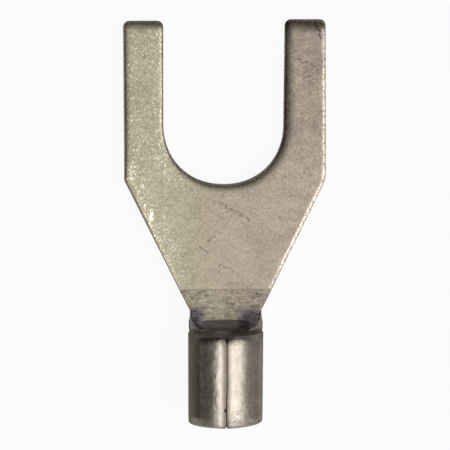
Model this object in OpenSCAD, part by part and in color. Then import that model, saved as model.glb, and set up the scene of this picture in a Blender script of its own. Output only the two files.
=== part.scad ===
// Uninsulated fork terminal, made of one piece of sheet: blanked to a forked tongue, pressed
// into a trough at the neck and rolled up into a wire barrel whose edges meet in a butt seam.
// Origin at the stud centre on the tongue's underside, +Y to the tine tips, +Z to the seam.

/* [Stock] */
// Sheet thickness
stock_t = 0.8; // [0.7:0.05:0.9]
// Width of the rounding that blanking leaves along the tongue's upper edges
die_roll = 0.18; // [0.1:0.02:0.24]
// Width of that rounding at the neck, where the forming tools press it flatter
neck_roll = 0.08; // [0.06:0.02:0.1]

/* [Tongue] */
// Slot width between the tines
slot_w = 6.6; // [6.4:0.1:6.8]
// Radius that the slot's round end has beyond half the slot width
slot_ease = 0.03; // [0.02:0.01:0.05]
// Width across both tines
tongue_w = 11; // [10.6:0.1:12]
// Stud centre to tine tips
tine_reach = 5.65; // [4:0.05:7]
// Corner rounding at the tine tips
tine_corner = 0.3; // [0.25:0.05:0.5]
// Stud centre to the start of the taper
shoulder_back = 3.05; // [2.6:0.05:4]
// Stud centre to the end of the taper
neck_back = 10.25; // [9.6:0.05:10.4]
// Width of the flat neck
neck_w = 3.86; // [3.6:0.02:4]

/* [Forming] */
// Stud centre to the line where the forming tools bite
press_back = 9.06; // [8.6:0.02:9.3]
// Depth of the step the forming tools leave along that line
press_depth = 0.03; // [0.02:0.01:0.05]
// Stud centre to where the neck's sides start to turn up
curl_back = 9.9; // [9.4:0.05:10.1]
// Stud centre to the sharp crease at the top of the ramp
crease_back = 10.76; // [10.6:0.02:10.9]
// Stud centre to the barrel's mouth
mouth_back = 11.3; // [11.2:0.05:11.6]
// Share of the full roll that the neck has reached at the crease
crease_curl = 0.15; // [0.1:0.05:0.5]
// Height of the tongue's underside above the bottom of the barrel
tongue_lift = 0.6; // [0.4:0.05:0.8]
// Inside rounding where the neck's edge runs into the barrel's front edge
root_fillet = 0.38; // [0.3:0.02:0.46]

/* [Barrel] */
// Outside diameter
barrel_d = 4.1; // [3.9:0.1:4.5]
// Barrel length
barrel_len = 5; // [4.5:0.1:6]
// Gap left between the two edges of the seam
seam_gap = 0.06; // [0.04:0.01:0.12]
// Rounding of the seam's upper edges
seam_lip = 0.1; // [0.06:0.02:0.26]
// Rounding of the seam's corners at the mouth
wing_corner = 0.42; // [0.3:0.02:0.5]
// Outside rounding at both ends of the barrel
end_round = 0.16; // [0.1:0.02:0.2]
// Inside bevel where the wire enters
entry_bevel = 0.15; // [0.1:0.05:0.25]

/* [Hidden] */
$fn = 72;
// Reach of cutting shapes past the face they cut
over = 0.5;
// Length by which the formed neck runs into the tongue and the barrel
lap = 0.2;
// Amount by which the formed neck's underside stays inside the tongue and the barrel
skin = 0.01;
// Centre and radius of an edge arc, as shares of its width, so it meets both faces at an angle
arc_set = 1.15;
arc_r = 1.16;
// Points across the sheet in the formed neck
neck_points = 22;
slot_r = slot_w / 2 + slot_ease;
slot_kink = acos(slot_w / 2 / slot_r);
slot_flank = slot_r * sin(slot_kink);
barrel_r = barrel_d / 2;
bore_r = barrel_r - stock_t;
roll_r = barrel_r - stock_t / 2;
barrel_z = barrel_r - tongue_lift;
ramp_run = mouth_back - crease_back;
bend_lead = stock_t * tan(atan(tongue_lift / ramp_run) / 2);
upper_h = stock_t / 2 - press_depth;
under_h = skin - stock_t / 2;
neck_stations = concat(
    [press_back - lap, press_back],
    steps(curl_back, neck_back, 3),
    steps(neck_back, crease_back, 4),
    steps(crease_back, mouth_back, 12),
    [mouth_back, mouth_back + lap]
);

function steps(a, b, count) = [for (i = [0 : count - 1]) a + (b - a) * i / count];
function share(a, b, t) = min(1, max(0, (t - a) / (b - a)));
function mix(a, b, t) = a + (b - a) * t;

// Half width of the flat blank at a distance back from the stud centre
function blank_half(back) = back < neck_back
    ? mix(tongue_w, neck_w, share(shoulder_back, neck_back, back)) / 2
    : neck_w / 2 + root_growth(share(mouth_back - root_fillet, mouth_back, back));
function root_growth(t) = root_fillet * (1 - sqrt(1 - t * t));

// Width of the rounding along the blank's upper edges
function edge_width(back) = mix(die_roll, neck_roll, share(press_back, neck_back, back));

// Curvature of the sheet across the neck: flat where the curl starts, fully rolled at the mouth
function curvature(back) = max(
    0.001,
    back < crease_back
        ? crease_curl * share(curl_back, crease_back, back)
        : mix(crease_curl, 1, share(crease_back, mouth_back, back))
) / roll_r;
function drop_upper(back) = tongue_lift * share(crease_back, mouth_back, back);
function drop_under(back) = tongue_lift * share(crease_back, mouth_back, back + bend_lead);

// Point of the formed sheet: distance back, distance across the blank, height from mid sheet, drop
function sheet_point(back, across, high, drop) =
    let (bend = curvature(back), turn = bend * across * 180 / PI, arm = 1 / bend - high)
    [arm * sin(turn), -back, stock_t / 2 + high + arm * (1 - cos(turn)) - drop];

// Distances across the blank and upper heights, from one rounded edge to the other
function sheet_row(half, roll) =
    let (flat = half - roll)
    concat(
        [for (a = [90 : -30 : 0]) [-flat - roll * sin(a), upper_h - roll * (1 - cos(a))]],
        [for (i = [1 : neck_points - 1]) [mix(-flat, flat, i / neck_points), upper_h]],
        [for (a = [0 : 30 : 90]) [flat + roll * sin(a), upper_h - roll * (1 - cos(a))]]
    );

// Cutter for rounding a corner at the origin of a shape that lies below and left of it
module corner_round(width, over_x = over, over_y = over) {
    difference() {
        translate([-width, -width])
            square([width + over_x, width + over_y]);
        translate([-arc_set * width, -arc_set * width])
            circle(r = arc_r * width);
    }
}

// Rounds the tongue's upper edge from one plan point to the next, sheet on the right hand
module edge_roll(from, to) {
    run = to - from;
    translate([from[0], from[1], stock_t])
        rotate([90, 0, 90 + atan2(run[1], run[0])])
        linear_extrude(norm(run))
        corner_round(die_roll);
}

// Rounds the upper edge around a tine corner, for a corner that points to +X and +Y
module tine_corner_roll() {
    translate([-arc_set * tine_corner, -arc_set * tine_corner, stock_t])
        rotate_extrude(angle = 90)
        translate([arc_r * tine_corner, 0])
        corner_round(die_roll);
}

module slot_end_roll() {
    translate([0, 0, stock_t])
        rotate([0, 0, 180 + slot_kink])
        rotate_extrude(angle = 180 - 2 * slot_kink)
        translate([slot_r, 0])
        mirror([1, 0])
        corner_round(die_roll);
}

module slot_plan() {
    translate([-slot_w / 2, -slot_flank])
        square([slot_w, slot_flank + tine_reach + over]);
    intersection() {
        circle(r = slot_r);
        translate([-slot_r, -slot_r - over])
            square([2 * slot_r, slot_r + over - slot_flank]);
    }
}

module tongue_plan() {
    press_half = blank_half(press_back);
    difference() {
        polygon([
            [-tongue_w / 2, tine_reach],
            [tongue_w / 2, tine_reach],
            [tongue_w / 2, -shoulder_back],
            [press_half, -press_back],
            [-press_half, -press_back],
            [-tongue_w / 2, -shoulder_back]
        ]);
        slot_plan();
        for (side = [0, 1])
            mirror([side, 0]) {
                translate([tongue_w / 2, tine_reach])
                    corner_round(tine_corner);
                translate([slot_w / 2, tine_reach])
                    mirror([1, 0])
                    corner_round(tine_corner);
            }
    }
}

module tongue() {
    press_half = blank_half(press_back);
    difference() {
        linear_extrude(stock_t)
            tongue_plan();
        slot_end_roll();
        for (side = [0, 1])
            mirror([side, 0, 0]) {
                edge_roll([slot_w / 2, tine_reach], [tongue_w / 2, tine_reach]);
                edge_roll([tongue_w / 2, tine_reach], [tongue_w / 2, -shoulder_back]);
                edge_roll([tongue_w / 2, -shoulder_back], [press_half, -press_back]);
                edge_roll([slot_w / 2, -slot_flank], [slot_w / 2, tine_reach]);
                translate([tongue_w / 2, tine_reach, 0])
                    tine_corner_roll();
                translate([slot_w / 2, tine_reach, 0])
                    mirror([1, 0, 0])
                    tine_corner_roll();
            }
    }
}

// Loft of the sheet from the flat tongue, over the crease and down the ramp, into the barrel
module neck() {
    row_size = len(sheet_row(neck_w / 2, neck_roll));
    ring = 2 * row_size;
    last = len(neck_stations) - 1;
    points = [
        for (back = neck_stations)
            let (row = sheet_row(blank_half(back), edge_width(back)))
            each concat(
                [for (p = row) sheet_point(back, p[0], p[1], drop_upper(back))],
                [for (p = row) sheet_point(back, p[0], under_h, drop_under(back))]
            )
    ];
    skins = [
        for (s = [0 : last - 1], i = [0 : row_size - 2])
            let (u = s * ring + i, v = u + row_size)
            each [
                [u, u + 1, u + ring + 1], [u, u + ring + 1, u + ring],
                [v, v + ring + 1, v + 1], [v, v + ring, v + ring + 1]
            ]
    ];
    sides = [
        for (s = [0 : last - 1])
            let (u = s * ring, v = u + row_size, w = v - 1, x = w + row_size)
            each [
                [u, u + ring, v + ring], [u, v + ring, v],
                [w, x, x + ring], [w, x + ring, w + ring]
            ]
    ];
    ends = [
        for (i = [0 : row_size - 2])
            let (u = i, v = u + row_size, w = last * ring + i, x = w + row_size)
            each [
                [u, v, v + 1], [u, v + 1, u + 1],
                [w, w + 1, x + 1], [w, x + 1, x]
            ]
    ];
    polyhedron(points = points, faces = concat(skins, sides, ends));
}

// Rounds the outer edge of the barrel's rear end, about the barrel's axis
module barrel_edge_roll() {
    rotate_extrude()
        translate([barrel_r, 0])
        corner_round(end_round);
}

// Seam edge on the side of -X: upper rounding along the barrel and corner rounding at the mouth
module seam_edge_cut() {
    translate([-seam_gap / 2, over, barrel_r])
        rotate([90, 0, 0])
        linear_extrude(barrel_len + 2 * over)
        corner_round(seam_lip, over_x = seam_gap / 2);
    translate([-seam_gap / 2, 0, 0])
        linear_extrude(barrel_r + over)
        corner_round(wing_corner, over_x = seam_gap / 2);
}

// Rolled tube, with its mouth at the origin and its axis along -Y
module barrel() {
    difference() {
        rotate([90, 0, 0])
            cylinder(h = barrel_len, r = barrel_r);
        translate([0, over, 0])
            rotate([90, 0, 0])
            cylinder(h = barrel_len + 2 * over, r = bore_r);
        translate([0, -barrel_len, 0])
            rotate([90, 0, 0])
            barrel_edge_roll();
        rotate([-90, 0, 0])
            barrel_edge_roll();
        translate([0, -barrel_len + entry_bevel, 0])
            rotate([90, 0, 0])
            cylinder(h = 2 * entry_bevel, r1 = bore_r, r2 = bore_r + 2 * entry_bevel);
        translate([-seam_gap / 2, -barrel_len - over, 0])
            cube([seam_gap, barrel_len + 2 * over, barrel_r + over]);
        for (side = [0, 1])
            mirror([side, 0, 0])
                seam_edge_cut();
    }
}

module fork_terminal() {
    color("tan")
        union() {
            tongue();
            neck();
            translate([0, -mouth_back, barrel_z])
                barrel();
        }
}

fork_terminal();
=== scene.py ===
import math
from types import SimpleNamespace

import bpy
from mathutils import Matrix, Vector, geometry, kdtree


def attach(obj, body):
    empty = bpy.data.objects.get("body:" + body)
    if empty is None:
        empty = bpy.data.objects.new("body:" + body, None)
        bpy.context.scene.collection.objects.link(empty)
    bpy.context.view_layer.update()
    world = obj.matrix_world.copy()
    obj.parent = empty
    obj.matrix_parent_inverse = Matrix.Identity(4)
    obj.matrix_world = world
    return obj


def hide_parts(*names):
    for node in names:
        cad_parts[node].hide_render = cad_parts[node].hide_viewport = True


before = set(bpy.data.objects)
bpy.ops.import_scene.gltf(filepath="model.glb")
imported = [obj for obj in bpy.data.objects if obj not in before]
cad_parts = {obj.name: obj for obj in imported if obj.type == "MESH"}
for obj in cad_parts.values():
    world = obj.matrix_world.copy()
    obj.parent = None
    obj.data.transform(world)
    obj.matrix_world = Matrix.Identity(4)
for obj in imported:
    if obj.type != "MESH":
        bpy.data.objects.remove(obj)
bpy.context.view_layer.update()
mm = 0.001


# one wrapper for shader and geometry maths: an expression adds its Math nodes
class Wire:
    def __init__(self, tree, socket):
        self.tree = tree
        self.socket = socket

    def node(self, kind, settings=None, sockets=None):
        made = self.tree.nodes.new(kind)
        for name, value in (settings or {}).items():
            setattr(made, name, value)
        for place, value in (sockets or {}).items():  # by name or by number
            self.feed(made.inputs[place], value)
        return made

    def feed(self, socket, value):
        if isinstance(value, Wire):
            self.tree.links.new(value.socket, socket)
        else:
            socket.default_value = value

    def out(self, made, place=0):
        return Wire(self.tree, made.outputs[place])

    def math(self, operation, *values):
        return self.out(self.node("ShaderNodeMath", {"operation": operation}, dict(enumerate(values))))

    def __add__(self, other):
        return self.math("ADD", self, other)

    __radd__ = __add__

    def __sub__(self, other):
        return self.math("SUBTRACT", self, other)

    def __rsub__(self, other):
        return self.math("SUBTRACT", other, self)

    def __mul__(self, other):
        return self.math("MULTIPLY", self, other)

    __rmul__ = __mul__

    def __truediv__(self, other):
        return self.math("DIVIDE", self, other)

    def __rtruediv__(self, other):
        return self.math("DIVIDE", other, self)

    def __pow__(self, other):
        return self.math("POWER", self, other)

    def __neg__(self):
        return self.math("MULTIPLY", self, -1.0)

    def sin(self):
        return self.math("SINE", self)

    def cos(self):
        return self.math("COSINE", self)

    def tan(self):
        return self.math("TANGENT", self)

    def arctan(self):
        return self.math("ARCTANGENT", self)

    def abs(self):
        return self.math("ABSOLUTE", self)

    def max(self, other):
        return self.math("MAXIMUM", self, other)

    def min(self, other):
        return self.math("MINIMUM", self, other)

    def swing(self):  # how far a noise is above or below its middle
        return self - 0.5

    def share(self, low, high):  # 0 at low, 1 at high, straight between
        return ((self - low) / (high - low)).max(0.0).min(1.0)

    def smooth(self, low, high):  # as share, with soft ends
        spans = dict(enumerate((self, low, high, 0.0, 1.0)))
        return self.out(self.node("ShaderNodeMapRange", {"interpolation_type": "SMOOTHSTEP"}, spans))

    def bent(self, half):  # 0 below 0, itself above 0, with a round bend between
        return (self + half).max(0.0).min(2.0 * half) ** 2.0 / (4.0 * half) + (self - half).max(0.0)

    def split(self):  # a vector's three parts
        made = self.node("ShaderNodeSeparateXYZ", None, {0: self})
        return [self.out(made, place) for place in range(3)]

    def mixed(self, low, high):  # the colour low where this is 0, high where it is 1
        return self.out(self.node("ShaderNodeMix", {"data_type": "RGBA"}, {0: self, 6: low, 7: high}), 2)


# flat blank of the terminal: millimetres from the stud centre, "back" runs towards the barrel
blank = {
    "stock": 0.8,
    "slotWidth": 6.54,
    "slotDepth": 3.31,
    "slotSquare": 2.12,  # 2 is an ellipse, more is squarer
    "slotSteps": 60,
    "slotShift": -0.08,
    "slotTip": (0.09, -0.03),  # right side and left side, as in the pairs below
    "tongueWidth": 10.99,
    "tineReach": (5.65, 5.605),
    "tineCorner": 0.34,
    "shoulderBack": 3.05,
    "shoulderCorner": (2.0, 0.4),
    "pressBack": 9.06,
    "pressDepth": 0.03,
    "curlBack": 9.9,
    "neckBack": 10.25,
    "neckWidth": 3.86,
    "neckCorner": 0.25,
    "creaseBack": 10.69,
    "creaseCurl": 0.15,  # share of the full curl that is reached at the crease
    "creaseBow": 0.02,
    "creaseRound": 0.1,  # share of the ramp
    "mouthBack": 11.3,
    "rootFillet": 0.38,
    "tongueLift": 0.6,
    "barrelBack": 16.3,
    "rollRadius": 1.6485,
    "seamGap": 0.006,
    "barrelSkew": -0.04,
    "barrelTaper": 0.02,
    "wingCorner": (0.5, 0.42),
    "rearCorner": 0.12,
    "rearEase": 0.02,
    "rearEaseRun": 0.46,
}
blank["slotHalf"] = blank["slotWidth"] / 2
blank["tongueHalf"] = blank["tongueWidth"] / 2
blank["neckHalf"] = blank["neckWidth"] / 2
blank["wingHalf"] = math.pi * blank["rollRadius"] - blank["seamGap"] / 2
blank["easeBack"] = blank["barrelBack"] - blank["rearEaseRun"]


def filletCorner(before, corner, after, radius, step):
    back = (before - corner).normalized()
    ahead = (after - corner).normalized()
    half = back.angle(ahead) / 2
    run = radius / math.tan(half)
    centre = corner + (back + ahead).normalized() * (radius / math.sin(half))
    first = corner + back * run - centre
    last = corner + ahead * run - centre
    sweep = math.atan2(first.x * last.y - first.y * last.x, first.dot(last))
    count = max(3, int(abs(sweep) * radius / step) + 1)
    points = []
    for i in range(count + 1):
        c = math.cos(sweep * i / count)
        s = math.sin(sweep * i / count)
        points.append(centre + Vector((first.x * c - first.y * s, first.x * s + first.y * c)))
    return points


# points at even steps along a closed line
def spread(points, step):
    lengths = [(b - a).length for a, b in zip(points, points[1:] + points[:1])]
    count = int(sum(lengths) / step)
    gap = sum(lengths) / count
    made = []
    walked = 0.0
    i = 0
    for k in range(count):
        while walked + lengths[i] < k * gap:
            walked += lengths[i]
            i += 1
        made.append(points[i].lerp(points[(i + 1) % len(points)], (k * gap - walked) / lengths[i]))
    return made


# 0 at low, 1 at high, held at the ends
def ramp(value, low, high):
    return min(1.0, max(0.0, (value - low) / (high - low)))


# the seam wanders a little, its left lip has a nick, and the rear end is cut a little hollow
blankWear = {
    "clearOfMouth": 0.01,
    "seamShift": 0.06,
    "seamWave": 0.015,
    "seamWaves": ((1.3, 0.0, 1.0), (3.1, 1.0, 0.5)),  # radians for each mm, start, share
    "seamFade": (1.2, 0.5),  # mm from the lip
    "nickBack": 15.29,
    "nickDepth": 0.09,
    "nickHalf": 0.07,
    "nickReach": 0.3,
    "rearHollow": (0.09, 0.05),  # right, left
    "hollowRun": 0.8,
    "hollowReach": 2.0,
}


def wornPoint(s, wear, p):
    back = -p.y
    if back < s["mouthBack"] - wear["clearOfMouth"]:
        return p
    lipGap = s["wingHalf"] - abs(p.x)
    outer = s["rollRadius"] / (s["rollRadius"] + s["stock"] / 2)
    wave = sum(share * math.sin(turn * p.y + start) for turn, start, share in wear["seamWaves"])
    shift = outer * (wear["seamShift"] + wear["seamWave"] * wave)
    x = p.x - shift * ramp(lipGap, *wear["seamFade"])
    if p.x < wear["nickReach"] - s["wingHalf"]:
        x += wear["nickDepth"] * math.exp(-((back - wear["nickBack"]) / wear["nickHalf"]) ** 2)
    hollow = wear["rearHollow"][0 if p.x > 0 else 1]
    rear = ramp(back, s["barrelBack"] - wear["hollowRun"], s["barrelBack"])
    return Vector((x, p.y + hollow * rear * ramp(lipGap, 0, wear["hollowReach"])))


def blankOutline(s, wear, step):
    arc = []
    for i in range(s["slotSteps"] + 1):
        a = math.pi / 2 * i / s["slotSteps"]
        x = s["slotHalf"] * math.sin(a) ** (2 / s["slotSquare"])
        y = -s["slotDepth"] * max(0.0, math.cos(a)) ** (2 / s["slotSquare"])
        arc.append(Vector((x, y)))
    halves = []
    for k, side in enumerate((1, -1)):
        tip = arc[-1].x + side * s["slotShift"] + s["slotTip"][k]
        corners = [
            (tip, s["tineReach"][k], s["tineCorner"]),
            (s["tongueHalf"], s["tineReach"][k], s["tineCorner"]),
            (s["tongueHalf"], -s["shoulderBack"], s["shoulderCorner"][k]),
            (s["neckHalf"], -s["neckBack"], s["neckCorner"]),
            (s["neckHalf"], -s["mouthBack"], s["rootFillet"]),
            (s["wingHalf"], -s["mouthBack"], s["wingCorner"][k]),
            (s["wingHalf"], -s["barrelBack"], s["rearCorner"]),
        ]
        half = [Vector((p.x + side * s["slotShift"], p.y)) for p in arc]
        route = half[-1:] + [Vector(c[:2]) for c in corners] + [Vector((0, -s["barrelBack"]))]
        for i, c in enumerate(corners):
            half += filletCorner(route[i], route[i + 1], route[i + 2], c[2], step)
        halves.append([Vector((side * p.x, p.y)) for p in half + route[-1:]])
    right, left = halves
    return [wornPoint(s, wear, p) for p in spread(right + left[-2:0:-1], step)]


# rolled edges that the blanking left: width and depth in millimetres
edgeRolls = {
    "outer": (0.26, 0.13),
    "tineLeft": (0.4, 0.21),
    "taperLeft": (0.08, 0.04),
    "slotLeft": (0.32, 0.15),
    "slotRight": (0.7, 0.28),
    "tipLeft": (0.7, 0.25),
    "tipRight": (0.95, 0.29),
    "neck": (0.07, 0.07),
    "under": (0.035, 0.035),
    "front": (0.34, 0.16),
    "seam": (0.17, 0.033),
    "rear": (0.14, 0.1),
}

# from where each roll starts to where it is full
rollSpans = {
    "slot": (0.4, 0.1),  # mm outside the slot
    "tipCorners": 1.5,  # tine corners before the tip
    "left": (0.0, 1.0),  # mm to the left
    "tine": (-3.0, -1.5),  # mm along the tine
    "taperEnd": 8.0,  # mm back
    "neck": (-0.3, 0.3),  # mm past the neck
    "front": (0.5, 0.7),  # shares of the wing
    "seam": (0.45, 0.1),  # mm from the lip
    "rear": (-0.3, 0.0),  # mm past the rear end
}


# width and depth of the rolled edge beside an outline point, on the upper or the under side
def edgeRoll(s, rolls, spans, p, side):
    size = {name: Vector(pair) for name, pair in rolls.items()}
    back = -p.y
    if side > 0:
        reach = math.hypot(p.x, p.y) if p.y < 0 else abs(p.x)
        tipEnd = s["tineReach"][1]
        slot = ramp(reach - s["slotHalf"], *spans["slot"])
        tip = ramp(p.y, tipEnd - spans["tipCorners"] * s["tineCorner"], tipEnd)
        neck = ramp(back - s["neckBack"], *spans["neck"])
        right = ramp(p.x, -s["slotHalf"], s["slotHalf"])
        left = ramp(-p.x, *spans["left"])
        tine = ramp(p.y, *spans["tine"]) * left
        taper = ramp(back, s["shoulderBack"], spans["taperEnd"]) * left
        roll = size["outer"].lerp(size["tineLeft"], tine).lerp(size["taperLeft"], taper)
        roll = roll.lerp(size["slotLeft"].lerp(size["slotRight"], right), slot)
        roll = roll.lerp(size["tipLeft"].lerp(size["tipRight"], right), tip)
        return roll.lerp(size["neck"], neck)
    front = ramp(abs(p.x) / s["wingHalf"], *spans["front"])
    seam = ramp(s["wingHalf"] - abs(p.x), *spans["seam"])
    rear = ramp(back - s["barrelBack"], *spans["rear"])
    return size["under"].lerp(size["front"], front).lerp(size["seam"], seam).lerp(size["rear"], rear)


def rollDrop(roll, gap):
    width, depth = roll
    return depth * (1 - math.sqrt(1 - max(0.0, 1 - gap / width) ** 2))


# how the blank is divided, in millimetres
grid = {
    "edgeStep": 0.055,
    "ringReach": 0.2,
    "rings": 7,
    "rimRows": 4,
    "straightTurn": 0.02,  # radians from one edge step to the next
    "cornerShare": 0.55,  # of a corner's radius that the rings may use
    "limitSlope": 0.45,
    "ringClear": 0.8,  # edge steps beside the last ring without a point
    "closeness": 1e-7,
    # rows run up to a line: the line, mm past it, gap between rows, gap across, half width
    "rows": [
        ("pressBack", -0.16, 0.15, 0.15, "tongueHalf"),
        ("pressBack", -0.04, 0.05, 0.14, "tongueHalf"),
        ("pressBack", 0.05, 0.02, 0.14, "tongueHalf"),
        ("creaseBack", -0.16, 0.09, 0.12, "tongueHalf"),
        ("mouthBack", 0.1, 0.035, 0.1, "tongueHalf"),
        ("easeBack", 0.0, 0.2, 0.11, "wingHalf"),
        ("barrelBack", 0.0, 0.07, 0.11, "wingHalf"),
    ],
}


# how far each outline point may move inwards, so that rings don't cross at tight corners
def insetLimits(ring, g):
    n = len(ring)
    limits = []
    for i, p in enumerate(ring):
        before = p - ring[i - 1]
        after = ring[(i + 1) % n] - p
        turn = math.atan2(before.y * after.x - before.x * after.y, before.dot(after))
        tightest = g["cornerShare"] * before.length / max(turn, g["straightTurn"])
        limits.append(min(g["ringReach"], tightest))
    for step in (1, -1):
        for i in range(0, 2 * n * step, step):
            gap = (ring[i % n] - ring[(i - step) % n]).length
            limits[i % n] = min(limits[i % n], limits[(i - step) % n] + g["limitSlope"] * gap)
    return limits


def insetRing(ring, distances):
    made = []
    for i, p in enumerate(ring):
        along = (ring[(i + 1) % len(ring)] - ring[i - 1]).normalized()
        made.append(p + Vector((along.y, -along.x)) * distances[i])
    return made


def nearTree(ring):
    tree = kdtree.KDTree(len(ring))
    for i, p in enumerate(ring):
        tree.insert((p.x, p.y, 0), i)
    tree.balance()
    return tree


# nearest outline point and the true distance to the outline
def edgeBeside(p, outline, near):
    i = near.find((p.x, p.y, 0))[1]
    gaps = []
    for a, b in ((outline[i - 1], outline[i]), (outline[i], outline[(i + 1) % len(outline)])):
        share = geometry.intersect_point_line(p, a, b)[1]
        gaps.append((p - a.lerp(b, min(1.0, max(0.0, share)))).length)
    return i, min(gaps)


# rows of points inside the blank, closer where the sheet bends more
def innerPoints(s, g, ring):
    near = nearTree(ring)
    made = []
    place = -s["tineReach"][0]
    k = 0
    for line, past, rowGap, gap, half in g["rows"]:
        count = int(s[half] / gap) + 1
        while place < s[line] + past:
            for i in range(-count, count + 1):
                p = Vector(((i + 0.5 * (k % 2)) * gap, -place))
                if near.find((p.x, p.y, 0))[2] > g["edgeStep"] * g["ringClear"]:
                    made.append(p)
            place += rowGap
            k += 1
    return made


# points with their place on the flat sheet and their distance to the outline
class SheetMesh:
    def __init__(self):
        self.places = []
        self.gaps = []
        self.faces = []

    def add(self, p, high, gap):
        self.places.append((p.x, p.y, high))
        self.gaps.append(gap)
        return len(self.places) - 1

    def bridge(self, a, b, turn):
        for i in range(len(a)):
            j = (i + 1) % len(a)
            self.faces.append([a[i], a[j], b[j], b[i]][::turn])

    def build(self, name):
        mesh = bpy.data.meshes.new(name)
        mesh.from_pydata([[v * mm for v in place] for place in self.places], [], self.faces)
        sheetPlace = mesh.attributes.new("sheetPlace", "FLOAT_VECTOR", "POINT")
        sheetPlace.data.foreach_set("vector", [v for place in self.places for v in place])
        edgeGap = mesh.attributes.new("edgeGap", "FLOAT", "POINT")
        edgeGap.data.foreach_set("value", self.gaps)
        mesh.update()
        return mesh


def makeBlank(s, wear, g):
    outline = blankOutline(s, wear, g["edgeStep"])
    n = len(outline)
    limits = insetLimits(outline, g)
    shares = [1 - math.sin(math.pi / 2 * (1 - i / g["rings"])) for i in range(g["rings"] + 1)]
    insets = [[share * limit for limit in limits] for share in shares]
    rings = [insetRing(outline, d) for d in insets]
    inside = rings[-1] + innerPoints(s, g, rings[-1])
    flat, _, faces, origins, _, _ = geometry.delaunay_2d_cdt(
        inside, [], [list(range(n))], 1, g["closeness"])
    near = nearTree(outline)
    beside = {k: edgeBeside(flat[k], outline, near) for k in sorted({k for f in faces for k in f})}
    print("blank: outline", n, "inside", len(flat), "faces", len(faces))

    sheet = SheetMesh()
    lips = {}
    for side in (1, -1):
        levels = [edgeRoll(s, edgeRolls, rollSpans, p, side) for p in outline]
        ringIds = []
        for ring, distances in zip(rings, insets):
            ringIds.append([
                sheet.add(p, side * (s["stock"] / 2 - rollDrop(roll, d)), d)
                for p, roll, d in zip(ring, levels, distances)])
        flatIds = {}
        for k, (i, gap) in beside.items():
            onRing = [j for j in origins[k] if j < n]
            if onRing:
                flatIds[k] = ringIds[-1][onRing[0]]
            else:
                flatIds[k] = sheet.add(flat[k], side * (s["stock"] / 2 - rollDrop(levels[i], gap)), gap)
        lips[side] = ringIds[0]
        for a, b in zip(ringIds, ringIds[1:]):
            sheet.bridge(a, b, -side)
        sheet.faces += [[flatIds[k] for k in f][::side] for f in faces]

    rim = [lips[1]]
    for k in range(1, g["rimRows"]):
        row = []
        for i, p in enumerate(outline):
            top = sheet.places[lips[1][i]][2]
            under = sheet.places[lips[-1][i]][2]
            row.append(sheet.add(p, top + (under - top) * k / g["rimRows"], 0.0))
        rim.append(row)
    rim.append(lips[-1])
    for a, b in zip(rim, rim[1:]):
        sheet.bridge(a, b, 1)
    return sheet.build("terminalBody")


# named inputs of the roll forming, in metres where they are lengths
forming = {
    "Stock": blank["stock"] * mm,
    "Roll Radius": blank["rollRadius"] * mm,
    "Press Back": blank["pressBack"] * mm,
    "Press Depth": blank["pressDepth"] * mm,
    "Press Run Out": 4.0 * blank["pressDepth"] * mm,
    "Curl Back": blank["curlBack"] * mm,
    "Crease Back": blank["creaseBack"] * mm,
    "Crease Bow": blank["creaseBow"] * mm,
    "Mouth Back": blank["mouthBack"] * mm,
    "Neck Half": blank["neckHalf"] * mm,
    "Tongue Lift": blank["tongueLift"] * mm,
    "Barrel Back": blank["barrelBack"] * mm,
    "Rear Ease": blank["rearEase"] * mm,
    "Rear Ease Run": blank["rearEaseRun"] * mm,
    "Barrel Skew": blank["barrelSkew"] * mm,
    "Barrel Taper": blank["barrelTaper"] / blank["rollRadius"],
    "Crease Curl": blank["creaseCurl"],
    "Crease Round": blank["creaseRound"],
    "Least Curl": 0.001,
    "Ease Power": 1.5,
}
sharpAngle = 40


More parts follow.
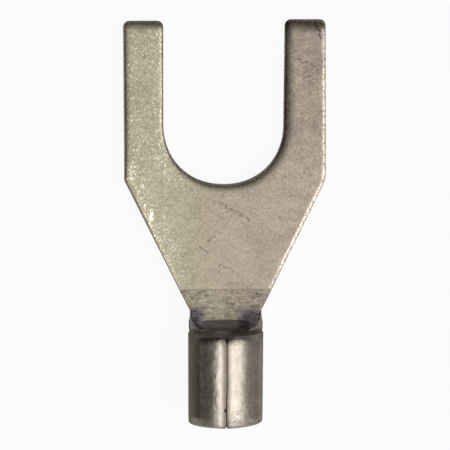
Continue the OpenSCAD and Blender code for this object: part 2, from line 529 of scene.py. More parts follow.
def rollFormTree(sizes):
    tree = bpy.data.node_groups.new("rollForm", "GeometryNodeTree")
    face = tree.interface
    face.new_socket("Blank", in_out="INPUT", socket_type="NodeSocketGeometry")
    for name, value in sizes.items():
        face.new_socket(name, in_out="INPUT", socket_type="NodeSocketFloat").default_value = value
    face.new_socket("Finish", in_out="INPUT", socket_type="NodeSocketMaterial")
    face.new_socket("Terminal", in_out="OUTPUT", socket_type="NodeSocketGeometry")
    entry = tree.nodes.new("NodeGroupInput")
    leave = tree.nodes.new("NodeGroupOutput")
    start = Wire(tree, entry.outputs["Blank"])
    size = {name: start.out(entry, name) for name in sizes}
    across, along, high = start.out(start.node("GeometryNodeInputPosition")).split()
    back = -along
    stock = size["Stock"]
    press = size["Press Back"]
    crease = size["Crease Back"]
    mouth = size["Mouth Back"]
    rear = size["Barrel Back"]
    lift = size["Tongue Lift"]
    bow = size["Crease Bow"]

    # the curl grows from the neck to the crease, then to the full roll at the mouth
    curl = size["Crease Curl"] * back.share(size["Curl Back"], crease)
    curl = curl + (1.0 - size["Crease Curl"]) * back.share(crease, mouth)
    bend = curl.max(size["Least Curl"]) / size["Roll Radius"]

    # the ramp drops by the lift, with its under side ahead of the upper by the sheet's slope
    bowed = bow * (across / size["Neck Half"]).min(1.0).max(-1.0) ** 2.0
    slope = (lift / (mouth - crease)).arctan()
    lead = stock * (slope * 0.5).tan() * (0.5 - high / stock)
    down = (back + lead + bowed - bow - crease) / (mouth - crease)
    drop = lift * (down.bent(size["Crease Round"]) - (down - 1.0).bent(size["Crease Round"]))

    # the press lowers the upper face, and the rear end is eased on its outer face
    depth = size["Press Depth"]
    pressed = back.share(press - depth, press + depth)
    pressed = pressed * (1.0 - back.share(crease - size["Press Run Out"], crease))
    ease = back.share(rear - size["Rear Ease Run"], rear) ** size["Ease Power"]
    upper = (high / stock * 2.0).max(0.0)
    under = (high / stock * -2.0).max(0.0)
    height = high - depth * pressed * upper + size["Rear Ease"] * ease * under

    rearward = back.share(mouth, rear)
    turn = bend * across
    arm = 1.0 / bend - height
    x = arm * turn.sin() * (1.0 - size["Barrel Taper"] * rearward) + size["Barrel Skew"] * rearward
    z = stock * 0.5 + height + arm * (1.0 - turn.cos()) - drop
    place = start.out(start.node("ShaderNodeCombineXYZ", None, {0: x, 1: along, 2: z}))
    formed = start.node("GeometryNodeSetPosition", None, {"Geometry": start, "Position": place})
    real = start.node("GeometryNodeRealizeInstances", None, {0: start.out(formed)})
    finish = {"Geometry": start.out(real), "Material": start.out(entry, "Finish")}
    painted = start.node("GeometryNodeSetMaterial", None, finish)
    tree.links.new(painted.outputs[0], leave.inputs[0])
    return tree


def formTerminal(mesh, sizes, finish):
    body = bpy.data.objects.new("terminalBody", mesh)
    bpy.context.scene.collection.objects.link(body)
    roll = body.modifiers.new("rollForm", "NODES")
    roll.node_group = rollFormTree(sizes)
    values = {**sizes, "Finish": finish}
    for item in roll.node_group.interface.items_tree:
        if item.in_out == "INPUT" and item.name in values:
            roll[item.identifier] = values[item.name]
    graph = bpy.context.evaluated_depsgraph_get()
    plain = bpy.data.meshes.new_from_object(body.evaluated_get(graph))
    body.modifiers.clear()
    body.data = plain
    plain.name = "terminalBody"
    plain.shade_smooth()
    plain.set_sharp_from_angle(angle=math.radians(sharpAngle))
    print("terminal formed:", len(plain.vertices), "points", len(plain.polygons), "faces")
    return body


# noises on the sheet: stretch for each millimetre, detail, roughness
tinGrain = {
    "grain": ((9.0, 9.0, 9.0), 3.0, 0.7),
    "fleck": ((11.0, 8.0, 11.0), 2.0, 0.5),
    "bigFleck": ((6.5, 5.0, 6.5), 1.0, 0.6),
    "cloud": ((0.55, 0.55, 0.55), 3.0, 0.6),
    "lumps": ((2.8, 1.7, 2.8), 3.0, 0.55),
    "mottle": ((1.5, 1.9, 1.5), 4.0, 0.62),
    "rolled": ((13.0, 0.9, 3.0), 3.0, 0.6),  # lines that the roll dies left
    "pressLines": ((1.4, 15.0, 3.0), 3.0, 0.65),
    "smudge": ((2.2, 4.2, 3.0), 3.0, 0.6),
    "pits": ((6.0, 9.0, 6.0), 1.0, 0.6),
}


# places on the flat sheet in millimetres, as the blank stored them
def readSheet(w):
    place = w.out(w.node("ShaderNodeAttribute", {"attribute_name": "sheetPlace"}), "Vector")
    edge = w.out(w.node("ShaderNodeAttribute", {"attribute_name": "edgeGap"}), "Fac")
    across, along, high = place.split()
    return SimpleNamespace(place=place, edge=edge, across=across, along=along, back=-along, high=high)


def readGrain(w, place, grain):
    made = {}
    for name, (stretch, detail, rough) in grain.items():
        scaled = w.out(w.node("ShaderNodeVectorMath", {"operation": "MULTIPLY"}, {0: place, 1: stretch}))
        sockets = {"Vector": scaled, "Scale": 1.0, "Detail": detail, "Roughness": rough}
        made[name] = w.out(w.node("ShaderNodeTexNoise", None, sockets))
    return SimpleNamespace(**made)


def past(line, span):
    return [line + v for v in span]


def partsOf(size, span):
    return [size * v for v in span]


# zones of the sheet, each from where it starts to where it is full, in mm unless a note says
zoneSpans = {
    "press": (-0.03, 0.04),  # past the press line
    "crease": (-0.02, 0.04),  # past the crease
    "mouth": (-0.13, -0.03),  # past the mouth
    "outside": (0.1, -0.1),  # above the middle of the sheet
    "cutGap": (0.02, 0.0),
    "cutHeight": (0.36, 0.24),
    "left": (-1.0, -4.9),
    "right": (0.0, 1.0),
    "rightTine": (2.6, 3.8),
    "leftTaperAcross": (0.0, -1.0),
    "leftTaperBack": (2.5, 4.0),
    # shares of the wing, from the bottom of the barrel round to the seam
    # where the barrel's flanks get painted shade, darker on the left than on the right, eased off towards the
    # bottom
    "leftFlank": (0.83, 0.74),
    "rightFlank": (0.95, 0.66),
    "flankFoot": (0.1, 0.4),
    "lowFlank": (0.72, 0.6),
    "bottom": (0.4, 0.1),
    "rearLip": (0.85, 0.9),
    # ragged bands at the ends of the barrel: painted shade at the front rim, and painted light and shade at
    # the rear
    "frontBand": (0.64, 0.02),  # past the mouth
    "frontRagged": 0.5,
    "rearBand": (-0.56, -0.36),  # past the rear end
    "rearRagged": 0.3,
    "rearLipLoss": 0.8,
    "rearRightLoss": 0.4,
    # brown of the seam joint, with painted shade on the rounded lips beside it, wider on the right and at the
    # mouth
    "seamStart": 0.23,
    "seamMoreRight": 0.1,
    "seamMoreMouth": 0.3,
    "seamMouth": (0.6, 0.1),  # past the mouth
    "seamFull": 0.03,
}


def sheetZones(s, p, n, sizes):
    wing = sizes["wingHalf"]
    mouth = sizes["mouthBack"]
    rearEnd = sizes["barrelBack"]
    left = -p.across
    middle = p.across.abs()
    pastPress = p.back.smooth(*past(sizes["pressBack"], s["press"]))
    pastCrease = p.back.smooth(*past(sizes["creaseBack"], s["crease"]))
    z = SimpleNamespace()
    z.tongue = 1.0 - pastPress
    z.barrel = p.back.smooth(*past(mouth, s["mouth"]))
    z.flat = 1.0 - z.barrel
    z.pressed = pastPress * (1.0 - pastCrease)
    z.incline = pastCrease * z.flat
    z.outer = z.barrel * p.high.smooth(*s["outside"])
    z.cut = p.edge.smooth(*s["cutGap"]) * p.high.abs().smooth(*s["cutHeight"])

    z.left = p.across.smooth(*s["left"])
    z.right = p.across.smooth(*s["right"])
    z.rightTine = p.across.smooth(*s["rightTine"]) * z.tongue
    z.leftTaper = p.across.smooth(*s["leftTaperAcross"]) * p.back.smooth(*s["leftTaperBack"])

    foot = partsOf(wing, s["flankFoot"])
    # masks of the painted shade on the barrel's flanks; the flanks are also a little rougher
    z.leftFlank = z.outer * left.smooth(*partsOf(wing, s["leftFlank"])) * left.smooth(*foot)
    z.rightFlank = z.outer * p.across.smooth(*partsOf(wing, s["rightFlank"])) * p.across.smooth(*foot)
    z.lowFlank = middle.smooth(*partsOf(wing, s["lowFlank"]))
    z.bottom = z.outer * middle.smooth(*partsOf(wing, s["bottom"]))

    # the front rim of the barrel, where shade is painted
    frontPlace = p.back + n.lumps.swing() * s["frontRagged"]
    z.front = z.outer * frontPlace.smooth(*past(mouth, s["frontBand"]))
    rearPlace = p.back + n.lumps.swing() * s["rearRagged"]
    z.rear = z.outer * rearPlace.smooth(*past(rearEnd, s["rearBand"]))
    z.rear = z.rear * (1.0 - left.smooth(*partsOf(wing, s["rearLip"])) * s["rearLipLoss"])
    z.rear = z.rear * (1.0 - p.across.smooth(0.0, wing) * s["rearRightLoss"])

    # the seam's band: a dark joint, widened into painted shade on its lips
    nearMouth = p.back.smooth(*past(mouth, s["seamMouth"]))
    seamStart = wing - s["seamStart"] - s["seamMoreRight"] * z.right - s["seamMoreMouth"] * nearMouth
    z.seam = middle.smooth(seamStart, wing - s["seamFull"]) * z.barrel
    return z


# painted highlight and painted shade on the edges of the tongue and the neck: spans in mm, strengths as
# shares of the tone
edgeMarks = {
    "slotGap": (0.5, 0.08),
    "slotRight": (0.5, 3.0),
    "slotRightDark": 0.35,
    "slotEnd": (-1.5, -3.0),
    "slotEndDark": 0.42,
    "slotLeftGap": (0.35, 0.1),
    "slotLeft": (-1.5, -3.0),
    "slotLeftDark": 0.2,
    "tipRight": (4.7, 5.6),
    "tipRightDark": 0.57,
    "tipLeft": (5.15, 5.55),
    "tipLeftDark": 0.55,
    # painted highlight on the outer edge on the right, broken into flecks
    "outerGap": (0.3, 0.1),
    "outerClear": (0.9, 1.1),  # from the slot
    "outerRight": (0.0, 2.0),
    "outerEnd": (8.8, 7.4),
    "outerFleck": (0.42, 0.6),
    "outerLeast": 0.55,
    "outerFlecked": 0.8,
    "outerBright": 0.2,
    "outerTaper": (2.5, 5.0),
    "outerTaperBright": 0.35,
    # painted shade on the lip along the outline, and the polished band inside it
    "lipGap": (0.07, 0.015),
    "lipEnd": (6.0, 3.0),
    "lipDark": 0.3,
    "polishGap": (0.24, 0.05),
    "polishBright": 0.08,
    "fleckGap": (0.26, 0.1),
    "fleckShare": (0.4, 0.62),
    "fleckQuiet": 1.6,  # loss of flecks where the edge is dark
    "leftTaperLoss": 0.8,
    "neckGap": (0.1, 0.04),
    "neckBack": (10.1, 10.4),
    "neckDark": 0.4,
}


def edgeZones(s, p, n, z, sizes):
    e = SimpleNamespace()
    slotGap = (p.across ** 2.0 + p.along.min(0.0) ** 2.0) ** 0.5 - sizes["slotHalf"]
    # painted shade on the slot's edges and on the tine tips
    slotRight = p.across.smooth(*s["slotRight"]) * s["slotRightDark"]
    slotEnd = p.along.smooth(*s["slotEnd"]) * s["slotEndDark"]
    slotDark = slotGap.smooth(*s["slotGap"]) * slotRight.max(slotEnd)
    slotLeft = slotGap.smooth(*s["slotLeftGap"]) * p.across.smooth(*s["slotLeft"])
    tipRight = p.along.smooth(*s["tipRight"]) * z.right * s["tipRightDark"]
    tipDark = tipRight.max(p.along.smooth(*s["tipLeft"]) * s["tipLeftDark"])

    # painted highlight on the outer edge on the right
    outer = p.edge.smooth(*s["outerGap"]) * slotGap.smooth(*s["outerClear"])
    outer = outer * p.across.smooth(*s["outerRight"]) * z.tongue
    flecked = s["outerLeast"] + s["outerFlecked"] * n.fleck.smooth(*s["outerFleck"])
    outerBright = s["outerBright"] + s["outerTaperBright"] * p.back.smooth(*s["outerTaper"])
    outerBright = outerBright * outer * p.back.smooth(*s["outerEnd"]) * flecked

    keptLeft = 1.0 - s["leftTaperLoss"] * z.leftTaper
    # painted shade along the lip of the outline
    lip = p.edge.smooth(*s["lipGap"]) * z.tongue * p.back.smooth(*s["lipEnd"]) * (1.0 - outer)
    e.polish = p.edge.smooth(*s["polishGap"]) * z.tongue * keptLeft
    e.fleck = p.edge.smooth(*s["fleckGap"]) * n.fleck.smooth(*s["fleckShare"]) * z.tongue * keptLeft
    e.fleck = e.fleck * (1.0 - (tipDark + slotDark) * s["fleckQuiet"]).max(0.0)
    # painted shade on the edges of the neck
    neck = p.edge.smooth(*s["neckGap"]) * p.back.smooth(*s["neckBack"]) * z.flat * (1.0 - z.cut)

    e.tone = outerBright + e.polish * s["polishBright"] - lip * s["lipDark"] - neck * s["neckDark"]
    e.tone = e.tone - slotDark - slotLeft * s["slotLeftDark"] - tipDark
    return e


# scratches, along routes in mm that the grain bends a little
scratchMarks = {
    "bendLumps": 0.12,
    "bendCloud": 0.1,
    "bendGrain": 0.05,
    "broken": (0.44, 0.56),
    "width": (1.6, 0.3),  # from the outside to the core, in half widths
    "upper": (0.0, 0.1),  # on the upper face only
    # route, half width, darkness, how broken the line is
    "lines": [
        ([(-1.40, -6.70), (-1.15, -6.86), (-0.96, -7.03)], 0.035, 0.42, 0.4),
        ([(-0.31, -7.69), (0.18, -7.85), (0.56, -8.07)], 0.025, 0.4, 0.4),
        ([(-0.53, -4.25), (-0.04, -4.42), (0.45, -4.74), (0.72, -4.88), (1.32, -5.23)], 0.1, 0.25, 0.8),
        ([(-0.92, -6.36), (-0.62, -6.08), (-0.36, -5.98)], 0.07, 0.18, 0.8),
        ([(3.93, 3.56), (4.25, 3.29), (4.58, 3.34), (5.06, 2.90)], 0.06, 0.26, 0.5),
        ([(3.85, 2.75), (4.3, 2.55), (4.75, 2.6)], 0.07, 0.24, 0.8),
        ([(4.90, 5.52), (5.01, 5.20), (5.17, 4.98), (5.12, 4.76), (5.28, 4.54)], 0.06, 0.32, 0.4),
        ([(-4.33, 4.54), (-4.34, 4.05), (-4.33, 3.56)], 0.018, 0.35, 0.5),
    ],
}


def scratchTone(s, p, n):
    wobble = n.grain.swing() * s["bendGrain"]
    x = p.across + n.lumps.swing() * s["bendLumps"] + wobble
    y = p.along + n.cloud.swing() * s["bendCloud"] - wobble
    broken = n.fleck.smooth(*s["broken"])
    marks = None
    for route, width, dark, gaps in s["lines"]:
        strength = dark * (1.0 - gaps * broken)
        for (x0, y0), (x1, y1) in zip(route, route[1:]):
            run = math.hypot(x1 - x0, y1 - y0)
            ux = (x1 - x0) / run
            uy = (y1 - y0) / run
            dx = x - x0
            dy = y - y0
            slide = (dx * ux + dy * uy).max(0.0).min(run)
            gap = ((dx - slide * ux) ** 2.0 + (dy - slide * uy) ** 2.0) ** 0.5
            mark = gap.smooth(*partsOf(width, s["width"])) * strength
            marks = mark if marks is None else marks.max(mark)
    return marks * p.high.smooth(*s["upper"])


# tone of the flat tongue, and of the grain everywhere
tongueLook = {
    "grain": 1.2,
    "barrelGrainLoss": 0.65,
    "cloud": 0.4,
    "mottle": 0.25,
    "rightMottle": 0.55,
    "dullSpan": (0.42, 0.3),  # of the fleck noise
    "dull": 0.14,
    "rightDull": 0.06,
    "rightDark": 0.09,
    "shoulderAcross": (2.0, 3.6),
    "shoulderAlong": (-1.0, -2.6),
    "shoulderBright": 0.08,
}


def tongueTone(s, p, n, z):
    z.dull = n.fleck.smooth(*s["dullSpan"]) * z.flat
    shoulder = p.across.abs().smooth(*s["shoulderAcross"]) * p.along.smooth(*s["shoulderAlong"]) * z.tongue
    tone = n.grain.swing() * (s["grain"] - s["barrelGrainLoss"] * z.barrel) + n.cloud.swing() * s["cloud"]
    tone = tone + n.mottle.swing() * (s["mottle"] + s["rightMottle"] * z.rightTine) * z.flat
    tone = tone - z.dull * (s["dull"] + s["rightDull"] * z.rightTine)
    return tone - z.rightTine * s["rightDark"] + shoulder * s["shoulderBright"]


# tone of the pressed band and the ramp, with painted shade at the corners of the neck, on the sides of the
# pressed band and on the ramp under the mouth
pressLook = {
    "dark": 0.05,
    "sides": (0.7, 2.0),
    "sidesDark": 0.12,
    "lines": 0.9,
    "smudge": 1.2,
    "darkPits": (0.4, 0.28),  # of the pits noise
    "pitDark": 0.35,
    "brightPits": (0.62, 0.74),
    "pitBright": 0.45,
    "rampEnd": 0.2,  # mm before the mouth
    "rampDark": 0.25,
    "rightCorner": (0.3, 1.15),
    "rightCornerBack": (9.85, 10.4),
    "rightCornerFade": (1.4, 1.8),
    "rightCornerLoss": 0.4,
    "leftCorner": (-0.9, -1.6),
    "leftCornerBack": (9.8, 10.35),
    "cornerDeep": (0.9, 1.3),
    "cornerDark": 0.12,
    "rampShade": 0.25,
}


def pressTone(s, p, n, z, sizes):
    # painted shade: the corners of the neck below the barrel's walls, the sides of the pressed band, and the
    # ramp under the mouth
    right = p.across.smooth(*s["rightCorner"]) * p.back.smooth(*s["rightCornerBack"])
    right = right * (1.0 - s["rightCornerLoss"] * p.across.smooth(*s["rightCornerFade"]))
    corners = right + p.across.smooth(*s["leftCorner"]) * p.back.smooth(*s["leftCornerBack"])
    z.smeared = (corners * z.flat).max(z.incline * s["rampShade"])
    deep = p.across.smooth(*s["cornerDeep"]) * corners * (1.0 - z.incline) * z.flat
    rampTop = z.incline * p.back.smooth(sizes["mouthBack"] - s["rampEnd"], sizes["creaseBack"])
    sides = z.pressed * p.across.abs().smooth(*s["sides"])
    z.lined = z.pressed + z.incline

    tone = n.pressLines.swing() * s["lines"] * z.lined.min(1.0) + n.smudge.swing() * z.pressed * s["smudge"]
    tone = tone - n.pits.smooth(*s["darkPits"]) * z.pressed * s["pitDark"]
    tone = tone + n.pits.smooth(*s["brightPits"]) * z.pressed * s["pitBright"]
    tone = tone - z.pressed * s["dark"] - sides * s["sidesDark"]
    return tone - deep * s["cornerDark"] - rampTop * s["rampDark"]


# tone of the barrel, with speckles on its right towards both ends, and a painted highlight on the left lip by
# the seam
barrelLook = {
    "leftLip": (0.87, 0.93),  # shares of the wing
    "leftLipHighlight": 0.22,
    "rightMottle": 0.6,
    "speckle": (0.5, 0.6),  # of the fleck noise
    "speckleLeast": 0.06,
    "speckleEnds": 0.2,
    "speckleRear": (14.2, 15.7),
    "speckleFront": (12.1, 11.6),
    "rolled": 0.5,
    "lumps": 0.35,
}


def barrelTone(s, p, n, z, sizes):
    # painted highlight along the left lip beside the seam
    leftLip = (-p.across).smooth(*partsOf(sizes["wingHalf"], s["leftLip"])) * z.outer
    ends = p.back.smooth(*s["speckleRear"]).max(p.back.smooth(*s["speckleFront"]))
    speckle = n.fleck.smooth(*s["speckle"]) * (s["speckleLeast"] + s["speckleEnds"] * ends)
    tone = (n.mottle.swing() * s["rightMottle"] - speckle) * z.outer * z.right
    tone = tone + leftLip * s["leftLipHighlight"]
    return tone + (n.rolled.swing() * s["rolled"] + n.lumps.swing() * s["lumps"]) * z.barrel


# painted highlights: bright flecks on the left of the tongue stand in for sparkles, and one painted glint
# beside the shoulder
paintedSparkleLook = {
    "share": (0.57, 0.67),
    "bandOut": (0.95, 0.25),  # mm from the outline
    "bandIn": (0.02, 0.1),
    "clusters": (0.42, 0.62),
    "anywhere": 0.1,
    "left": 0.2,
    "leftBand": 0.6,
    "edge": 0.5,
    "bigShare": (0.45, 0.52),
    "bigFine": (0.45, 0.56),
    "bigLeast": 0.3,
    "bigClusters": 0.7,
    "taperOut": (1.3, 0.6),
    "taperIn": (0.1, 0.25),
    "taperBack": (0.5, 3.0),
    "glintPlace": (-4.03, -4.95),
    "glintHalf": (0.16, 0.36),
    "glintSpan": (1.0, 0.2),
    "glintShare": (0.38, 0.46),
}


def paintedSparkles(s, p, n, z, e):
    clusters = n.lumps.smooth(*s["clusters"])
    band = p.edge.smooth(*s["bandOut"]) * p.edge.smooth(*s["bandIn"])
    where = z.left * (s["left"] + s["leftBand"] * band * clusters) + s["anywhere"]
    z.spark = z.tongue * n.fleck.smooth(*s["share"]) * where
    taper = p.edge.smooth(*s["taperOut"]) * p.edge.smooth(*s["taperIn"])
    taper = taper * z.left * p.back.smooth(*s["taperBack"]) * z.tongue
    big = n.bigFleck.smooth(*s["bigShare"]) * (s["bigLeast"] + s["bigClusters"] * clusters) * taper
    z.shine = (z.spark + e.fleck * s["edge"] + big * n.fleck.smooth(*s["bigFine"])).min(1.0)
    x = (p.across - s["glintPlace"][0]) / s["glintHalf"][0]
    y = (p.along - s["glintPlace"][1]) / s["glintHalf"][1]
    z.glint = (x ** 2.0 + y ** 2.0).smooth(*s["glintSpan"]) * n.fleck.smooth(*s["glintShare"])


# colours with spans in mm: the tin's own colours as they look on a plain white card, beside colours of
# painted shade and painted highlights for the flanks, front, rear, inside, neck corners, seam lips, sparkles
# and glint
tinFinish = {
    "olive": (0.426, 0.381, 0.28, 1),
    "rosy": (0.39, 0.331, 0.265, 1),
    "oliveToRosy": (-3.5, 2.5),
    # painted sparkle colours, yellowish on the left and paler on the right, and a white painted glint
    "paintedSparkleTin": (0.80, 0.77, 0.56, 1),
    "paintedSparklePale": (0.8, 0.76, 0.68, 1),
    "fleckToPale": (0.0, 2.0),
    "glintTin": (0.97, 0.97, 0.93, 1),
    "barrelTin": (0.56, 0.5, 0.425, 1),
    # painted shade on the flanks of the barrel: dark on the left, less dark on the right, lighter low down
    "leftFlankPaintedShade": (0.085, 0.077, 0.064, 1),
    "leftLowPaintedShade": (0.135, 0.122, 0.1, 1),
    "rightFlankPaintedShade": (0.155, 0.131, 0.108, 1),
    "rightLowPaintedShade": (0.25, 0.222, 0.186, 1),
    "underTin": (0.36, 0.32, 0.26, 1),
    # painted light and shade at the rear band: lighter than the painted flank shade where the eased rear end
    # faces the light, darker than the tin on top
    "rearTin": (0.44, 0.405, 0.345, 1),
    "rearShare": 0.85,
    "rearLowLoss": 0.5,
    # painted shade along the barrel's front rim, darker on the left
    "leftFrontPaintedShade": (0.1, 0.09, 0.085, 1),
    "rightFrontPaintedShade": (0.2, 0.18, 0.165, 1),
    "frontToRight": (-0.5, 0.5),
    "rampTin": (0.52, 0.47, 0.43, 1),
    # painted shade inside the barrel, lightening to the ramp colour at the sides
    "insidePaintedShade": (0.26, 0.237, 0.217, 1),
    "insideToSides": (0.5, 1.8),
    # painted shade at the corners of the neck and on the ramp
    "paintedCornerShade": (0.17, 0.155, 0.165, 1),
    # dark seam joint, also used as painted shade on the rounded lips beside it
    "seamBrownAndShade": (0.095, 0.072, 0.057, 1),
    "seamShare": 0.85,
    "cutTin": (0.15, 0.13, 0.115, 1),
    "mouthCutTin": (0.3, 0.271, 0.257, 1),
    "mouthCutStart": (10.2, 10.5),
    "mouthCutEnd": (0.3, 0.1),  # past the mouth
    "rearCut": (-0.3, -0.2),  # past the rear end
    "leastTone": 0.15,
    "edgeTint": (0.55, 0.52, 0.48, 1),
    "tongueRough": 0.5,
    "pressRough": 0.56,
    "barrelRough": 0.33,
    "flankRough": 0.06,  # more than the barrel's
    "rearRough": 0.56,
    "cutRough": 0.5,
    "grainRough": 0.2,
    "scratchRough": 0.2,
    "sparkPolish": 0.2,
    "edgePolish": 0.22,
    "roughLimits": (0.12, 0.9),
    # heights of the bump, as shares of its depth
    "bumpDepth": 0.05 * mm,
    "grainBump": 0.18,
    "barrelGrainLoss": 0.12,
    "lumpBump": 0.65,
    "rolledBump": 0.04,
    "pressBump": 0.1,
    "scratchBump": 0.15,
    "dullBump": 0.06,
}


def tinColour(s, p, z, sizes):
    # painted sparkles and a painted glint mixed into the tongue's colour
    paintedSparkleTin = p.across.smooth(*s["fleckToPale"]).mixed(s["paintedSparkleTin"], s["paintedSparklePale"])
    tongueTin = p.across.smooth(*s["oliveToRosy"]).mixed(s["olive"], s["rosy"])
    tongueTin = z.glint.mixed(z.shine.mixed(tongueTin, paintedSparkleTin), s["glintTin"])

    # painted shade on the barrel's flanks, darker on the left than on the right
    leftPaintedShade = z.lowFlank.mixed(s["leftFlankPaintedShade"], s["leftLowPaintedShade"])
    rightPaintedShade = z.lowFlank.mixed(s["rightFlankPaintedShade"], s["rightLowPaintedShade"])
    barrelTin = z.rightFlank.mixed(z.leftFlank.mixed(s["barrelTin"], leftPaintedShade), rightPaintedShade)
    # the rear band lifts the painted flank shade and dims the top of the barrel: painted light and shade
    rearShare = z.rear * (s["rearShare"] - s["rearLowLoss"] * z.lowFlank)
    barrelTin = rearShare.mixed(z.bottom.mixed(barrelTin, s["underTin"]), s["rearTin"])
    # painted shade along the front rim of the barrel
    frontPaintedShade = p.across.smooth(*s["frontToRight"]).mixed(s["leftFrontPaintedShade"], s["rightFrontPaintedShade"])
    barrelTin = z.front.mixed(barrelTin, frontPaintedShade)

    # painted shade on the inside of the barrel
    insidePaintedShade = p.across.abs().smooth(*s["insideToSides"]).mixed(s["insidePaintedShade"], s["rampTin"])
    tin = z.incline.mixed(z.outer.mixed(tongueTin, barrelTin), s["rampTin"])
    tin = (z.barrel - z.outer).mixed(tin, insidePaintedShade)
    # painted shade at the neck's corners and on the ramp
    tin = z.smeared.mixed(tin, s["paintedCornerShade"])
    # dark seam joint and painted shade on its lips
    tin = (z.seam * s["seamShare"]).mixed(tin, s["seamBrownAndShade"])

    mouthCut = p.back.smooth(*s["mouthCutStart"]) * p.back.smooth(*past(sizes["mouthBack"], s["mouthCutEnd"]))
    cutTin = mouthCut.mixed(z.seam.mixed(s["cutTin"], s["seamBrownAndShade"]), s["mouthCutTin"])
    cutTin = p.back.smooth(*past(sizes["barrelBack"], s["rearCut"])).mixed(cutTin, s["rearTin"])
    return z.cut.mixed(tin, cutTin)


def tinRough(s, n, z, e, marks):
    rough = s["tongueRough"] + (s["barrelRough"] - s["tongueRough"]) * z.outer
    rough = rough + (s["pressRough"] - s["tongueRough"]) * z.pressed
    rough = rough + s["flankRough"] * (z.leftFlank + z.rightFlank)
    rough = rough + (s["rearRough"] - s["barrelRough"]) * z.rear
    rough = rough + (s["cutRough"] - s["barrelRough"]) * z.cut * z.outer
    rough = rough + n.grain.swing() * s["grainRough"] + marks * s["scratchRough"]
    rough = rough - z.spark * s["sparkPolish"] - e.polish * s["edgePolish"]
    return rough.max(s["roughLimits"][0]).min(s["roughLimits"][1])


def tinHeight(s, n, z, marks):
    height = n.grain * (s["grainBump"] - s["barrelGrainLoss"] * z.outer)
    height = height + (n.lumps * s["lumpBump"] + n.rolled * s["rolledBump"]) * z.outer
    height = height + n.pressLines * z.lined * s["pressBump"]
    return height - marks * s["scratchBump"] - z.dull * s["dullBump"]


def tinMaterial(s, sizes):
    material = bpy.data.materials.new("tinPlate")
    material.use_nodes = True
    shader = material.node_tree.nodes["Principled BSDF"]
    w = Wire(material.node_tree, shader.outputs[0])
    p = readSheet(w)
    n = readGrain(w, p.place, tinGrain)
    z = sheetZones(zoneSpans, p, n, sizes)
    e = edgeZones(edgeMarks, p, n, z, sizes)
    marks = scratchTone(scratchMarks, p, n)
    tone = 1.0 + tongueTone(tongueLook, p, n, z) + pressTone(pressLook, p, n, z, sizes)
    tone = tone + barrelTone(barrelLook, p, n, z, sizes) + e.tone - marks
    paintedSparkles(paintedSparkleLook, p, n, z, e)
    scale = {0: tinColour(s, p, z, sizes), "Scale": tone.max(s["leastTone"])}
    tinted = w.out(w.node("ShaderNodeVectorMath", {"operation": "SCALE"}, scale))
    bumped = {"Strength": 1.0, "Distance": s["bumpDepth"], "Height": tinHeight(s, n, z, marks)}
    w.feed(shader.inputs["Base Color"], tinted)
    w.feed(shader.inputs["Roughness"], tinRough(s, n, z, e, marks))
    w.feed(shader.inputs["Normal"], w.out(w.node("ShaderNodeBump", None, bumped)))
    w.feed(shader.inputs["Metallic"], 1.0)
    w.feed(shader.inputs["Specular Tint"], s["edgeTint"])
    print("tin plate:", len(w.tree.nodes), "nodes")
    return material


# the terminal rests on its tine tips and the lower front edge of its barrel
floorSetup = {
    "size": 0.8,
    "barrelTouch": 11.0,  # mm back
    "colour": (0.93, 0.93, 0.93, 1),
    "rough": 0.9,
    "glow": 0.91,
}


def makeFloor(s, sizes):
    lift = sizes["tongueLift"] * mm
    touch = s["barrelTouch"] * mm
    slope = lift / (sizes["tineReach"][0] * mm + touch)
    half = s["size"] / 2
    corners = [(x * half, y * half) for x, y in ((-1, -1), (1, -1), (1, 1), (-1, 1))]
    mesh = bpy.data.meshes.new("floor")
    mesh.from_pydata([(x, y, slope * (y + touch) - lift) for x, y in corners], [], [(0, 1, 2, 3)])
    floor = bpy.data.objects.new("floor", mesh)
    bpy.context.scene.collection.objects.link(floor)

    paper = bpy.data.materials.new("floorPaper")
    paper.use_nodes = True
    shader = paper.node_tree.nodes["Principled BSDF"]
    w = Wire(paper.node_tree, shader.outputs[0])
    w.feed(shader.inputs["Base Color"], s["colour"])
    w.feed(shader.inputs["Roughness"], s["rough"])
    w.feed(shader.inputs["Specular IOR Level"], 0.0)
    # white wherever it is seen, with part of its own shading kept for the shadow
    path = w.node("ShaderNodeLightPath")
    seen = w.out(path, "Is Camera Ray") + w.out(path, "Is Glossy Ray") + w.out(path, "Is Transmission Ray")
    glow = w.out(w.node("ShaderNodeEmission", None, {"Color": (1, 1, 1, 1), "Strength": 1.0}))
    both = w.node("ShaderNodeMixShader", None, {0: seen.min(1.0) * s["glow"], 1: w, 2: glow})
    w.feed(w.tree.nodes["Material Output"].inputs["Surface"], w.out(both))
    mesh.materials.append(paper)


lampSetup = {
    "radiance": 1.6,
    "size": (0.47, 0.24),
    "place": (0.08, -0.045, 0.26),
    "aim": (0, -5.5 * mm, 0),
}


def makeLamp(s):
    lamp = bpy.data.lights.new("softPanel", "AREA")
    lamp.shape = "RECTANGLE"
    lamp.size, lamp.size_y = s["size"]
    lamp.energy = s["radiance"] * math.pi * lamp.size * lamp.size_y
    panel = bpy.data.objects.new("softPanel", lamp)
    panel.location = s["place"]
    away = (panel.location - Vector(s["aim"])).normalized()
    side = Vector((0, 1, 0)).cross(away).normalized()
    panel.rotation_euler = Matrix((side, away.cross(side), away)).transposed().to_euler()
    bpy.context.scene.collection.objects.link(panel)


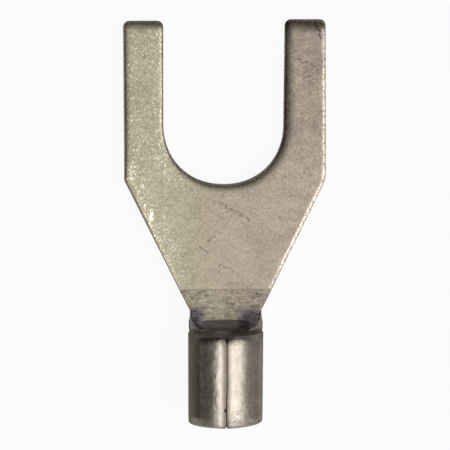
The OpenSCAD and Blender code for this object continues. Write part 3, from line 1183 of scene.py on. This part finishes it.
# a soft gradient round the studio, with a low band of fill at front and rear
worldSetup = {
    "darkSide": (0.08, 0.08, 0.08, 1),
    "lightSide": (0.45, 0.45, 0.46, 1),
    "lightFrom": (0.62, -0.76, 0.2),
    "lightSpan": (-0.3, 0.9),
    "fillSide": (0.55, 0.55, 0.55, 1),
    "fillAhead": (0.5, 0.85),
    "fillFoot": (0.02, 0.2),
    "fillTop": (0.62, 0.42),
}


def makeWorld(s):
    world = bpy.data.worlds.new("studio")
    world.use_nodes = True
    sky = world.node_tree.nodes["Background"]
    w = Wire(world.node_tree, sky.outputs[0])
    where = w.out(w.node("ShaderNodeTexCoord"), "Generated")
    ahead, above = where.split()[1:]
    toLight = w.node("ShaderNodeVectorMath", {"operation": "DOT_PRODUCT"}, {0: where, 1: s["lightFrom"]})
    lit = w.out(toLight, "Value").smooth(*s["lightSpan"]).mixed(s["darkSide"], s["lightSide"])
    band = ahead.abs().smooth(*s["fillAhead"]) * above.smooth(*s["fillFoot"]) * above.smooth(*s["fillTop"])
    w.feed(sky.inputs["Color"], band.mixed(lit, s["fillSide"]))
    bpy.context.scene.world = world


cameraSetup = {
    "target": (-0.012 * mm, -5.505 * mm, 0.8 * mm),
    "tilt": 4.6,
    "roll": 0.26,
    "distance": 135 * mm,
    "pixel": 0.05447 * mm,  # at the target
    "picture": 450,
    "sensor": 36.0,
    "clip": (0.01, 5.0),
}


def makeCamera(s):
    data = bpy.data.cameras.new("camera")
    data.sensor_width = s["sensor"]
    data.sensor_fit = "HORIZONTAL"
    data.lens = s["sensor"] * s["distance"] / (s["pixel"] * s["picture"])
    data.clip_start, data.clip_end = s["clip"]
    camera = bpy.data.objects.new("camera", data)
    tilt = math.radians(s["tilt"])
    camera.location = Vector(s["target"]) + Vector((0, math.sin(tilt), math.cos(tilt))) * s["distance"]
    camera.rotation_mode = "ZXY"
    camera.rotation_euler = (-tilt, 0, math.radians(-s["roll"]))
    bpy.context.scene.collection.objects.link(camera)
    bpy.context.scene.camera = camera


terminal = formTerminal(makeBlank(blank, blankWear, grid), forming, tinMaterial(tinFinish, blank))
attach(terminal, "root")
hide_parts("fork_terminal")
makeFloor(floorSetup, blank)
makeLamp(lampSetup)
makeWorld(worldSetup)
makeCamera(cameraSetup)
bpy.context.scene.view_settings.view_transform = "Standard"
print("stage and camera set")
